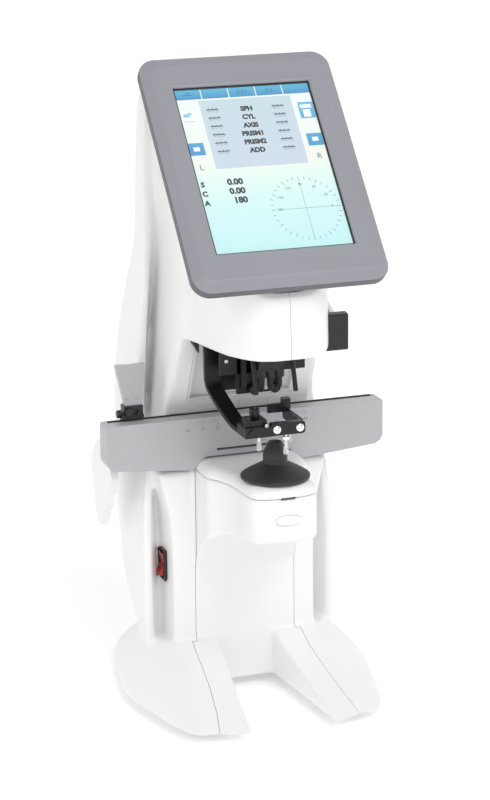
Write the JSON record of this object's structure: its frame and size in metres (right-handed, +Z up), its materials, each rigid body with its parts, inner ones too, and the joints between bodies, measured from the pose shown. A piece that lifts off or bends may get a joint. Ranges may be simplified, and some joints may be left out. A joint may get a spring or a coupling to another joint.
{
  "type": "lensmeter",
  "caption": "Desktop digital lensmeter: C-shaped white housing, tilted touch display, lens rest, sliding spectacle table, lens holder and marking unit.",
  "frame": {"origin": "middle of the footprint at the surface the instrument stands on", "axes": "+X to the operator's right, +Y away from the operator, +Z up"},
  "size_m": [0.188, 0.2086, 0.4127],
  "materials": {
    "housing": "satin warm white",
    "bezel": "satin mid gray",
    "table": "satin light gray",
    "screen": "lit display",
    "touch": "clear touch glass",
    "black": "matt black",
    "black_metal": "black anodised",
    "steel": "bright steel",
    "chrome": "polished",
    "alloy": "cast alloy",
    "bronze": "bushing bronze",
    "rubber": "soft black",
    "tip": "translucent silicone",
    "board": "circuit board",
    "psu": "sheet metal can",
    "lens": "coated glass",
    "mirror": "front silvered",
    "rocker": "translucent red",
    "inlet": "black moulding"
  },
  "bodies": {
    "housing": {"left_side_shell": "housing", "right_side_shell": "housing", "front_cover": "housing", "stage_cap": "housing", "throat_panel": "housing", "rear_panel": "housing", "mains_inlet": "inlet", "printer_port": "steel", "base_plate": "alloy", "rubber_feet": "rubber", "power_switch_frame": "inlet", "main_frame": "alloy", "table_slide_block": "alloy", "slide_bushes": "bronze", "sensor_barrel": "black_metal", "fold_mirror": "mirror", "image_sensor_board": "board", "measuring_lens": "lens", "hartmann_plate": "black_metal", "lamp_barrel": "black_metal", "collimator_lens": "lens", "lamp_board": "board", "main_board": "board", "power_supply": "psu", "lens_rest": "black", "lever_bush": "bronze", "axle_bracket": "alloy", "marking_plate": "black_metal", "plate_screws": "black", "guide_rods": "black_metal", "hinge_bracket": "alloy", "hinge_pin": "steel"},
    "display": {"display_bezel": "bezel", "touch_glass": "touch", "lcd_panel": "screen", "display_rear_housing": "housing"},
    "table": {"table_bar": "table", "table_back_plate": "table", "slider_rail": "black", "table_rods": "steel", "table_rack": "black"},
    "table_lever": {"table_lever": "housing", "lever_axle": "steel", "table_pinion": "bronze"},
    "pd_slider": {"pd_slider_clamp": "black", "pd_slider_knob": "table"},
    "lens_holder": {"holder_arm": "black_metal", "holder_block": "black_metal", "holder_fork": "black_metal", "fork_screws": "chrome", "holder_pins": "steel", "pin_tips": "tip"},
    "marking_lever": {"mark_handle": "black", "mark_arm": "housing", "mark_axle": "steel", "mark_crank": "steel"},
    "marking_carriage": {"pen_carriage": "black", "marking_pens": "black"},
    "memory_button": {"memory_button": "housing"},
    "power_rocker": {"power_rocker": "rocker"}
  },
  "joints": [
    {"name": "display_tilt", "type": "hinge", "parent": "housing", "child": "display", "pos_m": [0, -0.09105, 0.28842], "axis": [1, 0, 0], "range_deg": [0, 20]},
    {"name": "table_lever_turn", "type": "hinge", "parent": "housing", "child": "table_lever", "pos_m": [-0.085, 0.033, 0.156], "axis": [1, 0, 0], "range_deg": [0, 62]},
    {"name": "table_slide", "type": "slide", "parent": "housing", "child": "table", "axis": [0, -1, 0], "range_m": [0, 0.02401]},
    {"name": "pd_slide", "type": "slide", "parent": "table", "child": "pd_slider", "axis": [1, 0, 0], "range_m": [-0.008, 0.006]},
    {"name": "holder_lift", "type": "slide", "parent": "housing", "child": "lens_holder", "axis": [0, 0, 1], "range_m": [0, 0.009]},
    {"name": "marking_lever_pull", "type": "hinge", "parent": "housing", "child": "marking_lever", "pos_m": [0.05, 0.008, 0.262], "axis": [1, 0, 0], "range_deg": [0, 25.5], "stiffness_Nm_per_rad": 0.12, "springref_deg": -28.65},
    {"name": "marking_slide", "type": "slide", "parent": "housing", "child": "marking_carriage", "axis": [0, -0.3048, -0.9524], "range_m": [0, 0.02645]},
    {"name": "memory_press", "type": "slide", "parent": "housing", "child": "memory_button", "axis": [0, 1, 0], "range_m": [0, 0.0015], "stiffness_N_per_m": 400},
    {"name": "power_rock", "type": "hinge", "parent": "housing", "child": "power_rocker", "pos_m": [-0.048, 0.012, 0.083], "axis": [0, -1, 0], "range_deg": [0, 14]}
  ],
  "couplings": [
    {"joint": "table_slide", "follows": "table_lever_turn", "m_per_rad": 0.022},
    {"joint": "marking_slide", "follows": "marking_lever_pull", "m_per_rad": 0.058978}
  ]
}
